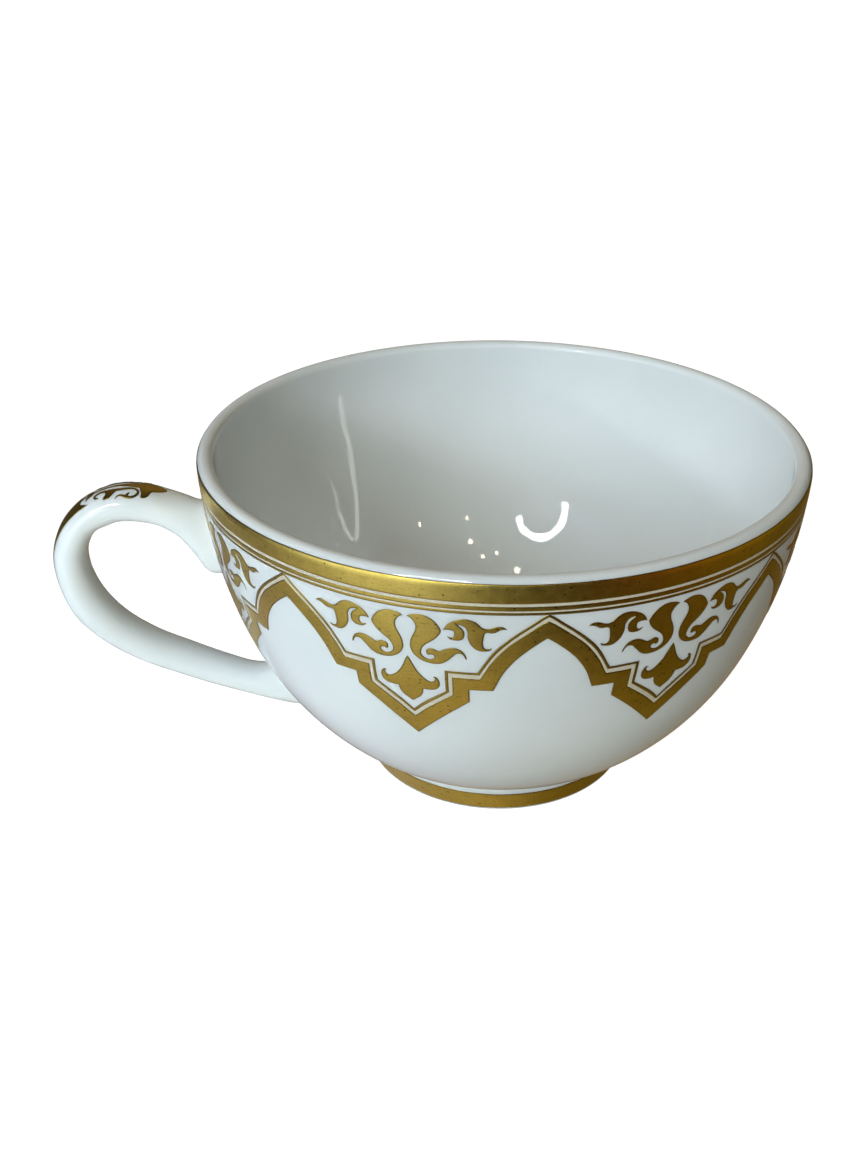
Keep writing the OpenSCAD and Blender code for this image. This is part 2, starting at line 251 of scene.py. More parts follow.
def gold_bounce_paint_material():
    """Painted light: a thin tan sheet in the narrow gaps between the gilt lines, standing in for warm light bounced off
    the gold.
    """
    m = bpy.data.materials.new("painted_gold_bounce")
    t = Tree(m)
    co = t.add("ShaderNodeTexCoord").outputs["Object"]
    grain = t.span(t.noise(co, 1800.0, 3.0), 0.3, 0.7, 0.0, 1.0)
    tone = t.mix(grain, rgb(0.62, 0.54, 0.4), rgb(0.7, 0.63, 0.5))
    rough = t.span(t.noise(co, 600.0, 2.0), 0.3, 0.7, 0.14, 0.24)
    bump = t.add("ShaderNodeBump", None, Strength=0.15, Distance=0.00004, Height=grain)
    shader = t.add("ShaderNodeBsdfPrincipled", None, Base_Color=tone, Roughness=rough, Normal=bump.outputs["Normal"], IOR=1.5)
    t.add("ShaderNodeOutputMaterial", None, Surface=shader.outputs["BSDF"])
    return m


PORCELAIN = porcelain_material()
# tan sheet of painted light: warm light bounced off the gold into the gaps between gilt lines
GOLD_BOUNCE_PAINT = gold_bounce_paint_material()
GOLD = gold_material("burnished_gold", rgb(0.4, 0.27, 0.045), rgb(0.7, 0.52, 0.1), rgb(0.8, 0.6, 0.12), 0.27, 0.38)

# ---------------------------------------------------------------- bowl
LIP_TOP, LIP_OUT, LIP_IN, LIP_HALF = TOP - 0.02, 1.4, 1.2, 1.2  # crown, how far down it rounds off outside and inside, crown from outside
lip_a, lip_b = math.asin((ZC - LIP_TOP + LIP_OUT) / R1), math.asin((ZC - LIP_TOP + LIP_IN) / (R1 - WALL_T))
lip_r = C1[0] + R1 * math.cos(lip_a) - LIP_HALF
lip_q = np.linspace(0, math.pi / 2, 25)
lip_out = np.stack([lip_r + LIP_HALF * np.cos(lip_q), LIP_TOP - LIP_OUT * (1 - np.sin(lip_q))], -1)
lip_w = lip_r - C1[0] - (R1 - WALL_T) * math.cos(lip_b)
lip_in = np.stack([lip_r - lip_w * np.sin(lip_q) ** (2 / 2.2), LIP_TOP - LIP_IN * (1 - np.cos(lip_q).clip(0) ** (2 / 2.2))], -1)
base_b = math.asin((C2[1] - 3.0) / R2)
floor_b = math.radians(50)
floor_p = C2 + (R2 - WALL_T) * np.array([math.cos(floor_b), -math.sin(floor_b)])
floor_d = np.array([-math.sin(floor_b), -math.cos(floor_b)])
profile = np.vstack([
    [[0, 3.0], [6, 3.0], [12, 3.0], [17, 3.0], [19.6, 3.0], [20.3, 3.0]],
    arc(C2, R2, -base_b, -A1, 64),
    arc(C1, R1, -A1, -lip_a, 72)[1:],
    lip_out[1:],
    lip_in[1:],
    arc(C1, R1 - WALL_T, -lip_b, -A1, 44)[1:],
    arc(C2, R2 - WALL_T, -A1, -floor_b, 26)[1:],
    bezier(floor_p, floor_p + 7.0 * floor_d, (12, 5.6), (0, 5.6), 30)[1:],
])
bowl = make("bowl_body", *revolve(profile, 288))
hand_in(bowl, "bowl", "porcelain", PORCELAIN)


# ---------------------------------------------------------------- foot ring
def foot_wall(z):
    return FOOT_R + (FOOT_TOP_R - FOOT_R) * z / FOOT_TOP_Z


foot = np.vstack([
    arc((FOOT_IN_R + 0.55, 0.55), 0.55, math.pi, 1.5 * math.pi, 9),
    arc((foot_wall(0.55) - 0.58, 0.58), 0.58, 1.5 * math.pi, 2 * math.pi - 0.02, 9),
    [[foot_wall(z), z] for z in np.linspace(0.8, 6.2, 16)],
    [[23.6, 5.2], [20.9, 3.4], [20.9, 2.4], [20.9, 1.4]],
])
foot_ring = make("foot_ring_body", *revolve(foot, 288))
hand_in(foot_ring, "foot_ring", "porcelain", PORCELAIN)

# ---------------------------------------------------------------- handle
RUNGS = np.array([
    [[42, 48.4], [42, 36.4]], [[46, 48.9], [46, 36.4]], [[50.2, 49.5], [49.6, 36.6]], [[52.5, 50.4], [51.9, 40.4]],
    [[55.2, 51.4], [54.5, 44]], [[58.9, 52.6], [58, 46.2]], [[63.3, 52.9], [62.9, 47]], [[67.6, 51.6], [65.6, 46.3]],
    [[71.1, 49.2], [67.7, 45.3]], [[73.8, 45.8], [69.1, 43.2]], [[75.4, 41], [69.8, 40.4]], [[75.2, 35.2], [69.3, 36.4]],
    [[73, 28.9], [67.5, 32.2]], [[68.3, 23.7], [64.4, 28.2]], [[62.7, 19.8], [59.7, 24.6]], [[56.7, 16.8], [54.4, 21.9]],
    [[50.9, 14.2], [49, 19.3]], [[45, 11.9], [43.6, 17.1]], [[39.2, 9.7], [39.4, 17]], [[34.5, 8.5], [35.6, 17.2]],
    [[29, 8], [31, 17.4]], [[25, 8], [27, 17.4]]], float)
HANDLE_W, TAPER, POWER = 8.0, 0.18, 2.15


def strap(v, q, e=0.0):
    """Point on the handle: v along the loop, q degrees round the section (0 back of the loop, 90 the -Y side), lifted e."""
    v, q = np.asarray(v, float), np.radians(np.asarray(q, float))
    n = len(RUNGS)
    i = np.clip(np.floor(v).astype(int), 0, n - 2)
    t = (v - i)[..., None, None]
    a, b, c, d = RUNGS[np.maximum(0, i - 1)], RUNGS[i], RUNGS[i + 1], RUNGS[np.minimum(n - 1, i + 2)]
    r = 0.5 * (2 * b + (c - a) * t + (2 * a - 5 * b + 4 * c - d) * t**2 + (3 * b - a - 3 * c + d) * t**3)
    m, h = (r[..., 0, :] + r[..., 1, :]) / 2, (r[..., 0, :] - r[..., 1, :]) / 2
    soft = lambda x: np.sign(x) * np.abs(x) ** (2 / POWER)
    k = 1 + np.asarray(e, float) / np.linalg.norm(h, axis=-1)
    s = np.clip((v - 12) / 5, 0, 1)
    half = HANDLE_W / 2 * (1 - TAPER * s * s * (3 - 2 * s)) + e
    p = m + h * (k * soft(np.cos(q)))[..., None]
    return np.stack([-p[..., 0], -half * soft(np.sin(q)), p[..., 1]], -1)


def gap(p):
    return np.hypot(p[..., 0], p[..., 1]) - outer_r(p[..., 2])


def root(q, inside, outside, depth):
    a, b = np.full(q.shape, float(inside)), np.full(q.shape, float(outside))
    for _ in range(44):
        m = (a + b) / 2
        deep = gap(strap(m, q)) < -depth
        a, b = np.where(deep, m, a), np.where(deep, b, m)
    return (a + b) / 2


NQ, NV = 80, 230
q = np.arange(NQ) * 360 / NQ
va, vb = root(q, 0.3, 4.0, 0.6), root(q, 20.9, 15.0, 0.6)
w = np.linspace(0, 1, NV)
w = w - 0.6 * np.sin(2 * math.pi * w) / (2 * math.pi)
V = va + (vb - va) * w[:, None]
Q = np.broadcast_to(q, V.shape)
fillet = 0.4 * np.exp(-np.maximum(gap(strap(V, Q)), 0) / 0.55)
P = strap(V, Q, fillet).reshape(-1, 3)
faces = [(i * NQ + j, i * NQ + (j + 1) % NQ, (i + 1) * NQ + (j + 1) % NQ, (i + 1) * NQ + j) for i in range(NV - 1) for j in range(NQ)]
P = np.vstack([P, P[:NQ].mean(0), P[-NQ:].mean(0)])
faces += [(NV * NQ, j, (j + 1) % NQ) for j in range(NQ)] + [(NV * NQ + 1, (NV - 1) * NQ + j, (NV - 1) * NQ + (j + 1) % NQ) for j in range(NQ)]
handle = make("handle_body", P, faces)
hand_in(handle, "handle", "porcelain", PORCELAIN)

# ---------------------------------------------------------------- gilding
GILT_H, GILT_EDGE, SUNK = 0.045, 0.22, 0.04


def relief(d):
    """Height of the gilding at a distance d in from its outline: a soft shoulder, then flat."""
    return GILT_H * (1 - (1 - np.clip(d / GILT_EDGE, 0, 1)) ** 2)


def sway(t, seed, amount):
    """Slow uneven drift of a painted edge round the cup, the same at 0 and 2 pi."""
    g = np.random.default_rng(seed)
    return amount * sum(g.normal() * np.sin(k * t + g.uniform(0, 6.28)) / math.sqrt(k) for k in range(2, 40)) / 2.2


ACROSS = [0.0, 0.03, 0.07, 0.12, 0.17, 0.22]


def stripe(lo, hi, place, amount, seed, height=1.0):
    """A painted band all round: place(t, s, lift) gives points, lo and hi are its edges along s."""
    n = 576
    t = np.arange(n) * 2 * math.pi / n
    a, b = lo + sway(t, seed, amount), hi + sway(t, seed + 1, amount)
    half = (hi - lo) / 2
    ins = [d for d in ACROSS if d < half * 0.8]
    count = max(1, int((hi - lo - 2 * ins[-1]) / 0.5))
    rows, dist = [], []
    for d in ins:
        rows.append(a + d)
        dist.append(d)
    for k in range(1, count + 1):
        f = k / (count + 1)
        rows.append((a + ins[-1]) * (1 - f) + (b - ins[-1]) * f)
        dist.append(min(f, 1 - f) * (hi - lo - 2 * ins[-1]) + ins[-1])
    for d in reversed(ins):
        rows.append(b - d)
        dist.append(d)
    pts = [place(t, s, np.full(n, height * relief(np.float64(d)) + 0.004)) for s, d in zip(rows, dist)]
    pts += [place(t, b, np.full(n, -SUNK)), place(t, a, np.full(n, -SUNK))]
    dist += [0.0, 0.0]
    m = len(pts)
    faces = [(i * n + j, i * n + (j + 1) % n, ((i + 1) % m) * n + (j + 1) % n, ((i + 1) % m) * n + j) for i in range(m) for j in range(n)]
    return np.vstack(pts), faces, np.repeat(dist, n)


def band(name, node, lo, hi, place, amount, seed, gap=None, height=1.0):
    """One gilt band, with a tan sheet of painted gold bounce light in the gap beside it where there is one."""
    verts, faces, edge = stripe(lo, hi, place, amount, seed, height)
    which = [0] * len(faces)
    if gap:
        v, f, e = stripe(gap[0], gap[1], place, 0.0, 1, 0.1)
        faces = faces + [tuple(len(verts) + c for c in g) for g in f]
        which += [1] * len(f)
        verts, edge = np.vstack([verts, v]), np.concatenate([edge, e])
    obj = make(name, verts, faces, edge, which=which)
    return hand_in(obj, node, "gilding", GOLD, GOLD_BOUNCE_PAINT)


def on_wall(t, s, lift):
    p = wall(s, lift)
    return np.stack([p[:, 0] * np.sin(t), -p[:, 0] * np.cos(t), p[:, 1]], -1)


def on_rim(t, s, lift):
    """As on_wall, but over the rounded outside of the lip near the top."""
    back = R1 * (lip_a - A0) - s
    run = np.concatenate([[0], np.cumsum(np.linalg.norm(np.diff(lip_out, axis=0), axis=1))])
    q = np.interp(back, run, lip_q)
    out = np.stack([np.cos(q) / LIP_HALF, np.sin(q) / LIP_OUT], -1)
    out /= np.linalg.norm(out, axis=1)[:, None]
    over = np.stack([np.interp(back, run, lip_out[:, 0]), np.interp(back, run, lip_out[:, 1])], -1) + out * lift[:, None]
    p = np.where((back > 0)[:, None], over, wall(s, lift))
    return np.stack([p[:, 0] * np.sin(t), -p[:, 0] * np.cos(t), p[:, 1]], -1)


def on_foot(t, s, lift):
    slope = math.atan2(FOOT_TOP_R - FOOT_R, FOOT_TOP_Z)
    r = foot_wall(s) + lift * math.cos(slope)
    return np.stack([r * np.sin(t), -r * np.cos(t), s - lift * math.sin(slope)], -1)


band("rim_band_gilt", "rim_band", 0.76, 3.75, on_rim, 0.03, 11, height=1.6)
band("rim_stripe_gilt", "rim_stripe", 4.2, 4.9, on_wall, 0.02, 21, (3.7, 4.25))
band("rim_line_gilt", "rim_line", 5.15, 5.6, on_wall, 0.015, 31, (4.85, 5.2))
band("foot_band_gilt", "foot_band", 0.5, 4.2, on_foot, 0.03, 41)

X_MM = 0.82  # millimetres to a degree round the wall, for drawing the frieze flat


def curve(points, corners=(), closed=False, step=0.15):
    """A smooth line through points, in [degrees, s] drawn flat, with the listed points left sharp."""
    p = np.asarray(points, float) * [X_MM, 1]
    n = len(p)
    sharp = {c % n for c in corners}
    if not closed:
        sharp |= {0, n - 1}
    out = []
    for i in range(n if closed else n - 1):
        b, c = p[i], p[(i + 1) % n]
        a = 2 * b - c if i in sharp else p[i - 1]
        d = 2 * c - b if (i + 1) % n in sharp else p[(i + 2) % n]
        k = [0.0]
        for u, v in ((a, b), (b, c), (c, d)):
            k.append(k[-1] + max(np.linalg.norm(v - u), 1e-6) ** 0.5)
        m = max(1, int(math.ceil(np.linalg.norm(c - b) / step)))
        t = (k[1] + (k[2] - k[1]) * np.arange(m) / m)[:, None]
        a1 = (k[1] - t) / (k[1] - k[0]) * a + (t - k[0]) / (k[1] - k[0]) * b
        a2 = (k[2] - t) / (k[2] - k[1]) * b + (t - k[1]) / (k[2] - k[1]) * c
        a3 = (k[3] - t) / (k[3] - k[2]) * c + (t - k[2]) / (k[3] - k[2]) * d
        b1 = (k[2] - t) / (k[2] - k[0]) * a1 + (t - k[0]) / (k[2] - k[0]) * a2
        b2 = (k[3] - t) / (k[3] - k[1]) * a2 + (t - k[1]) / (k[3] - k[1]) * a3
        out.append((k[2] - t) / (k[2] - k[1]) * b1 + (t - k[1]) / (k[2] - k[1]) * b2)
    if not closed:
        out.append(p[-1:])
    return np.vstack(out)


def inside(pts, loops):
    res = np.zeros(len(pts), bool)
    for lp in loops:
        a, b = lp, np.roll(lp, -1, 0)
        hit = np.zeros(len(pts), int)
        for k in range(0, len(pts), 2000):
            x, y = pts[k:k + 2000, :1], pts[k:k + 2000, 1:]
            up = (a[:, 1] > y) != (b[:, 1] > y)
            with np.errstate(divide="ignore", invalid="ignore"):
                cut = a[:, 0] + (y - a[:, 1]) * (b[:, 0] - a[:, 0]) / (b[:, 1] - a[:, 1])
            hit[k:k + 2000] = (up & (x < cut)).sum(1)
        res |= hit % 2 == 1
    return res


def distance(pts, a, b):
    out = np.empty(len(pts))
    ab = b - a
    den = np.maximum((ab**2).sum(1), 1e-12)
    for k in range(0, len(pts), 1000):
        p = pts[k:k + 1000, None, :]
        t = np.clip(((p - a) * ab).sum(-1) / den, 0, 1)
        out[k:k + 1000] = np.linalg.norm(p - (a + t[..., None] * ab), axis=-1).min(1)
    return out


def triangulate(pts, loops_at, loops):
    v, _, f, *_ = delaunay_2d_cdt([Vector((float(x), float(y))) for x, y in pts], [], loops_at, 0, 1e-7)
    v = np.array([tuple(p) for p in v])
    f = np.array([list(t) for t in f if len(t) == 3])
    return v, f[inside(v[f].mean(1), loops)]


def outline_edges(f):
    e = np.vstack([f[:, [0, 1]], f[:, [1, 2]], f[:, [2, 0]]])
    s = np.sort(e, 1)
    _, at, count = np.unique(s, axis=0, return_index=True, return_counts=True)
    return e[at[count == 1]]


def fill(loops, pitch=0.55, seam=None):
    """Fills flat outlines (a union) with a fine mesh: points, top triangles, coarse bottom triangles, outline edges, depth."""
    start = np.vstack(loops)
    at, k = [], 0
    for lp in loops:
        at.append(list(range(k, k + len(lp))))
        k += len(lp)
    v0, f0 = triangulate(start, at, loops)
    e0 = outline_edges(f0)
    free = np.ones(len(e0), bool) if seam is None else ~(np.abs(np.abs(v0[e0][..., 0]) - seam) < 1e-5).all(1)
    a, b = v0[e0[free, 0]], v0[e0[free, 1]]
    mid, d = (a + b) / 2, b - a
    nrm = np.stack([-d[:, 1], d[:, 0]], -1) / np.maximum(np.linalg.norm(d, axis=1), 1e-9)[:, None]
    extra = []
    for off in (0.07, 0.15, 0.25):
        for sign in (1, -1):
            c = mid + sign * off * nrm
            extra.append(c[inside(c, loops) & (distance(c, a, b) > off * 0.93)])
    lo, hi = start.min(0), start.max(0)
    gx, gy = np.meshgrid(np.arange(lo[0], hi[0], pitch), np.arange(lo[1], hi[1], pitch * 0.866))
    gx = gx + (np.arange(gx.shape[0]) % 2)[:, None] * pitch / 2
    g = np.stack([gx.ravel(), gy.ravel()], -1)
    g = g[inside(g, loops)]
    g = g[distance(g, a, b) > 0.42]
    if seam is not None:
        g = g[np.abs(np.abs(g[:, 0]) - seam) > 0.15]
        extra = [c[np.abs(np.abs(c[:, 0]) - seam) > 0.05] for c in extra]
    v, f = triangulate(np.vstack([start] + extra + [g]), at, loops)
    e = outline_edges(f)
    if seam is not None:
        e = e[~(np.abs(np.abs(v[e][..., 0]) - seam) < 1e-5).all(1)]
    return v, f, v0, f0, e, distance(v, v[e[:, 0]], v[e[:, 1]])


def closed_sheet(filled, place, height=1.0):
    """Solid leaf of gilding: the fine top, the coarse bottom sunk under the glaze, and walls round the outline."""
    v, f, v0, f0, e, d = filled
    top = place(v, height * relief(d) + 0.004)
    low = place(v0, np.full(len(v0), -SUNK))
    key = {(round(x, 5), round(y, 5)): i for i, (x, y) in enumerate(v0)}
    n = len(v)
    under = np.array([key.get((round(x, 5), round(y, 5)), -1) for x, y in v])
    faces = [tuple(t) for t in f] + [(n + c, n + b, n + a) for a, b, c in f0]
    faces += [(i, j, n + under[j], n + under[i]) for i, j in e if under[i] >= 0 and under[j] >= 0]
    return np.vstack([top, low]), faces, np.concatenate([d, np.zeros(len(v0))])


def flip(p):
    return p * [-1, 1]


# middles of the eight motifs, in degrees from -Y: the decoration was laid on by hand, so they are not quite even
MIDDLES = [-68.9, -22.55, 23.05, 69.0, 113.4, 157.8, 202.2, 246.7]


def lay(name, node, groups, mirror=False, seam=None):
    """Repeats flat drawings eight times round the wall. groups holds [outlines, material number, height]."""
    flats = []
    for loops, which, height in groups:
        flats.append((fill(loops, seam=seam), which, height))
        if mirror:
            flats.append((fill([flip(lp)[::-1] for lp in loops], seam=seam), which, height))
    verts, faces, edge, mats, k = [], [], [], [], 0
    for i, mid in enumerate(MIDDLES):
        after = (MIDDLES[(i + 1) % 8] - mid) % 360 / 2 - 22.5
        before = (mid - MIDDLES[i - 1]) % 360 / 2 - 22.5

        def place(p, h):
            deg = p[:, 0] / X_MM
            if seam is not None:  # a ribbon stretches a little near the arch to meet the next repeat
                f = np.clip((np.abs(deg) - 11) / 11.5, 0, 1)
                deg = deg + f * f * (3 - 2 * f) * np.where(deg > 0, after, -before)
            return on_wall(np.radians(mid + deg), p[:, 1], h)

        for flat, which, height in flats:
            vs, fs, ed = closed_sheet(flat, place, height)
            verts.append(vs)
            edge.append(ed)
            faces += [tuple(k + c for c in g) for g in fs]
            mats += [which] * len(fs)
            k += len(vs)
    obj = make(name, np.vstack(verts), faces, np.concatenate(edge), merge=0.002 if seam is not None else 0.0, which=mats)
    return hand_in(obj, node, "gilding", GOLD, GOLD_BOUNCE_PAINT)


# half outlines from the arch's top (22.5 degrees off the motif's middle) down to the point of the pendant
band_up = [[22.5, 6.65], [21.5, 7.15], [20, 8.15], [18, 9.6], [16.2, 11.1], [14.8, 12.7], [13.6, 14.4], [12.6, 16.2], [12.1, 17.1],
           [7.4, 17.1], [7.4, 20.7], [5, 22.4], [2.6, 24.2], [0, 26.5]]
band_low = [[22.5, 9.55], [21.6, 10.1], [20.6, 10.8], [19.2, 11.9], [17.9, 13.1], [16.6, 14.7], [15.6, 16.3], [14.9, 17.9], [14.3, 19.35],
            [10.3, 19.35], [10.3, 21.9], [7.8, 23.8], [5.2, 25.9], [2.6, 28.2], [0, 30.6]]
line_up = [[22.5, 5.5], [21.6, 5.95], [20, 7.05], [18, 8.45], [16.2, 9.9], [14.55, 11.5], [13.35, 13.1], [12.35, 14.75], [11.65, 15.9],
           [6.2, 15.9], [6.2, 20.05], [4.1, 21.5], [2.1, 22.95], [0, 24.85]]
line_low = [[22.5, 5.95], [21.8, 6.35], [20.3, 7.4], [18.3, 8.8], [16.55, 10.25], [14.95, 11.85], [13.75, 13.45], [12.75, 15.05], [12, 16.33],
            [6.75, 16.33], [6.75, 20.25], [4.4, 21.95], [2.4, 23.45], [0, 25.5]]


def ribbon(up, low, corners):
    """Closed outline of one repeat of a frieze ribbon, symmetric about the motif's middle."""
    a, b = curve(up, corners), curve(low, corners)
    half = lambda c: np.vstack([c, flip(c)[::-1][1:]])
    top, bottom = half(a), half(b)
    side = np.linspace(bottom[-1], top[-1], 18)[1:-1]
    other = flip(side)[::-1]
    return np.vstack([top, side[::-1], bottom[::-1], other[::-1]])


lay("frieze_band_gilt", "frieze_band", [[[ribbon(band_up, band_low, (8, 9, 10))], 0, 1.0]], seam=22.5 * X_MM)
# the second outline is the tan sheet between the line and the band: painted gold bounce light
lay("frieze_line_gilt", "frieze_line", [[[ribbon(line_up, line_low, (8, 9, 10))], 0, 1.0],
                                        [[ribbon(line_low, band_up, (8, 9, 10))], 1, 0.1]], seam=22.5 * X_MM)

scroll = [[0.3, 6.9], [0.8, 6.65], [1.5, 6.45], [2.4, 6.35], [3.3, 6.45], [4.2, 6.8], [4.9, 7.3], [5.5, 8], [5.9, 8.7], [5.7, 9.2],
          [5.3, 9.8], [4.7, 10.4], [4, 10.9], [3.3, 11.4], [2.8, 11.9], [2.5, 12.5], [2.4, 13.1], [2.7, 13.6], [3.2, 13.95], [3.8, 14.05],
          [4.4, 13.85], [4.65, 13.5], [4.4, 13.2], [4, 13.15], [3.7, 13.3], [3.4, 13.2], [3.25, 12.8], [3.4, 12.3], [3.9, 12.05],
          [4.5, 12.05], [5.1, 12.3], [5.6, 12.35], [6.2, 12], [6.9, 11.7], [7.7, 11.55], [8.5, 11.65], [9.2, 12], [9.7, 12.6], [9.95, 13.3],
          [9.9, 13.55], [9.7, 13.4], [9.5, 12.9], [9.1, 12.55], [8.7, 12.5], [8.2, 12.65], [7.7, 13.1], [7.1, 13.7], [6.4, 14.3],
          [5.6, 14.7], [4.6, 14.85], [3.4, 14.75], [2.4, 14.45], [1.5, 13.9], [0.9, 13.2], [0.6, 12.4], [0.6, 11.6], [0.8, 10.8],
          [1.2, 10], [1.6, 9.2], [1.7, 8.4], [1.4, 7.7], [0.9, 7.2], [0.5, 7]]
side = [[6.2, 8.55], [6.5, 8], [7, 7.4], [7.7, 6.95], [8.5, 6.65], [9.5, 6.45], [10.4, 6.5], [11.2, 6.75], [11.9, 7.25], [12.5, 7.75],
        [13.1, 7.9], [13.9, 7.75], [14.7, 7.5], [15.4, 7.45], [16, 7.65], [16.4, 7.95], [15.8, 7.95], [15.2, 8.1], [14.6, 8.45],
        [14, 8.6], [13.3, 8.55], [12.9, 8.7], [12.7, 9.3], [12.6, 10], [12.6, 10.7], [12.8, 11.2], [13.2, 11.4], [13.6, 11.35],
        [13.9, 11.15], [14, 11.35], [13.7, 11.65], [13.1, 11.8], [12.4, 11.85], [11.6, 11.65], [11, 11.2], [10.5, 10.6], [10.2, 9.9],
        [10.1, 9.2], [10.1, 8.6], [9.9, 8.1], [9.5, 7.7], [9, 7.5], [8.4, 7.4], [8.8, 7.7], [9.3, 8.1], [9.6, 8.7], [9.6, 9.4],
        [9.3, 9.9], [8.7, 10.15], [8, 10.2], [7.4, 10.1], [7, 9.8], [6.8, 9.5], [7.3, 9.7], [7.7, 9.7], [7.95, 9.4], [8, 9],
        [7.9, 8.65], [7.6, 8.5], [7.2, 8.45], [6.7, 8.45]]
palm = [[0, 14], [0.35, 14.5], [0.7, 15.2], [1.1, 16], [1.6, 16.8], [2.2, 17.5], [2.9, 18.1], [3.5, 18.4], [4.1, 18.35], [4.4, 18],
        [4.4, 17.7], [4.1, 17.5], [4.4, 17.35], [4.8, 17.5], [5.1, 17.95], [5.25, 18.6], [5.1, 19.3], [4.6, 19.85], [3.9, 20.1],
        [3.1, 20.15], [2.3, 20.15], [2.2, 20.6], [2, 21.2], [1.5, 21.9], [0.7, 22.5], [0, 23]]
lay("scroll_leaves_gilt", "scroll_leaves", [[[curve(scroll, (0, 8, 31, 39), True, 0.14)], 0, 1.0]], mirror=True)
lay("side_leaves_gilt", "side_leaves", [[[curve(side, (0, 15, 28, 42, 52), True, 0.14)], 0, 1.0]], mirror=True)
half_palm = curve(palm, (11, 20), False, 0.14)
lay("palmettes_gilt", "palmettes", [[[np.vstack([half_palm, flip(half_palm)[::-1][1:-1]])], 0, 1.0]])

# ornament on the back of the handle, drawn flat in [v, q] and laid on the strap
V_MM, Q_MM = 4.5, 0.062
stem = [[4.1, 2], [4.2, 7], [4.35, 13], [4.55, 17.5], [4.75, 20], [5, 16], [5.2, 12], [5.45, 9.5], [5.7, 6], [6, 4.2], [6.5, 3.4], [7, 3.4],
        [7.35, 3.6], [7.52, 7], [7.6, 13], [7.55, 19], [7.45, 25], [7.33, 31], [7.2, 36.5], [7.6, 36.5], [8.2, 36], [8.8, 34.5], [9.3, 31],
        [9.8, 26], [10.4, 17], [11, 7], [11.5, 1]]
leaves = [
    [[4.6, 12], [4.72, 20], [4.79, 26], [4.83, 32], [4.89, 38], [4.98, 43], [5.14, 46.5], [5.19, 43], [5.17, 37], [5.15, 30], [5.17, 22], [5.2, 15], [5.1, 8]],
    [[5.95, 14], [6.04, 21], [6.12, 28], [6.21, 35], [6.3, 41], [6.4, 44], [6.54, 43], [6.57, 38], [6.5, 31], [6.46, 25], [6.48, 19], [6.54, 12.5], [6.25, 12]]]
curls = [
    [[6.4, 15, 0.3], [6.2, 17, 0.35], [5.95, 18, 0.3], [5.7, 15.5, 0.26], [5.5, 14.5, 0.22], [5.36, 17, 0.2], [5.27, 23, 0.2], [5.26, 30, 0.2],
     [5.32, 37, 0.2], [5.42, 43, 0.22], [5.55, 46, 0.26], [5.68, 44.5, 0.3], [5.79, 41, 0.26], [5.91, 39, 0.2], [6, 41, 0.15], [6.06, 45, 0.1], [6.09, 50, 0.03]],
    [[5.68, 44, 0.2], [5.66, 39, 0.2], [5.61, 34, 0.18], [5.56, 30, 0.08]],
    [[6.45, 14, 0.3], [6.65, 12.5, 0.27], [6.8, 14, 0.25], [6.89, 19, 0.25], [6.89, 25, 0.23], [6.82, 30, 0.2], [6.73, 31.5, 0.08]],
    [[6.98, 1, 0.4], [7.14, 5.5, 0.45], [7.26, 13, 0.28], [7.28, 21, 0.04]]]


def stroke(points):
    """Outline of a stroke whose half width changes along it."""
    p = np.asarray(points, float)
    flat = curve(np.stack([p[:, 0] * V_MM / X_MM, p[:, 1] * Q_MM], -1), step=0.1)
    cum = lambda c: np.concatenate([[0], np.cumsum(np.linalg.norm(np.diff(c, axis=0), axis=1))])
    hw = np.interp(cum(flat) / cum(flat)[-1], cum(np.stack([p[:, 0] * V_MM, p[:, 1] * Q_MM], -1)) / cum(np.stack([p[:, 0] * V_MM, p[:, 1] * Q_MM], -1))[-1], p[:, 2])
    d = np.gradient(flat, axis=0)
    nrm = np.stack([-d[:, 1], d[:, 0]], -1) / np.linalg.norm(d, axis=1)[:, None]
    return np.vstack([flat + nrm * hw[:, None], (flat - nrm * hw[:, None])[::-1]])


def on_strap(points):
    return [[v * V_MM / X_MM, w_ * Q_MM] for v, w_ in points]


half_stem = curve(on_strap(stem), (18,), step=0.12)
stem_loop = np.vstack([half_stem, (half_stem * [1, -1])[::-1]])
loops = [stem_loop]
for o in [stroke(c) for c in curls] + [curve(on_strap(c), (6,) if c[0][0] < 5 else (), True, 0.12) for c in leaves]:
    loops += [o, (o * [1, -1])[::-1]]
vs, fs, ed = closed_sheet(fill(loops, 0.4), lambda p, h: strap(p[:, 0] / V_MM, p[:, 1] / Q_MM, h))
leaf = make("handle_leaf_gilt", vs, fs, ed, merge=0.0005)
hand_in(leaf, "handle_leaf", "gilding", GOLD)

# ---------------------------------------------------------------- floor, light
bpy.ops.mesh.primitive_grid_add(x_subdivisions=8, y_subdivisions=8, size=24.0, location=(0, 6.0, -0.0001))
floor = bpy.context.object
floor.name = "studio_floor"
fm = bpy.data.materials.new("studio_paper")
ft = Tree(fm)
fco = ft.add("ShaderNodeTexCoord").outputs["Object"]
tone = ft.mix(ft.span(ft.noise(fco, 40.0, 4.0), 0.3, 0.7, 0.0, 1.0), rgb(0.29, 0.29, 0.29), rgb(0.31, 0.31, 0.31))
paper = ft.add("ShaderNodeBsdfPrincipled", None, Base_Color=tone, Roughness=0.9, Emission_Color=rgb(1, 1, 1), Emission_Strength=0.93)
ft.add("ShaderNodeOutputMaterial", None, Surface=paper.outputs["BSDF"])
floor.data.materials.append(fm)
# the lit paper neither tints the cup nor shades the bounce light below it
floor.visible_glossy = False
floor.visible_diffuse = False
floor.visible_shadow = False

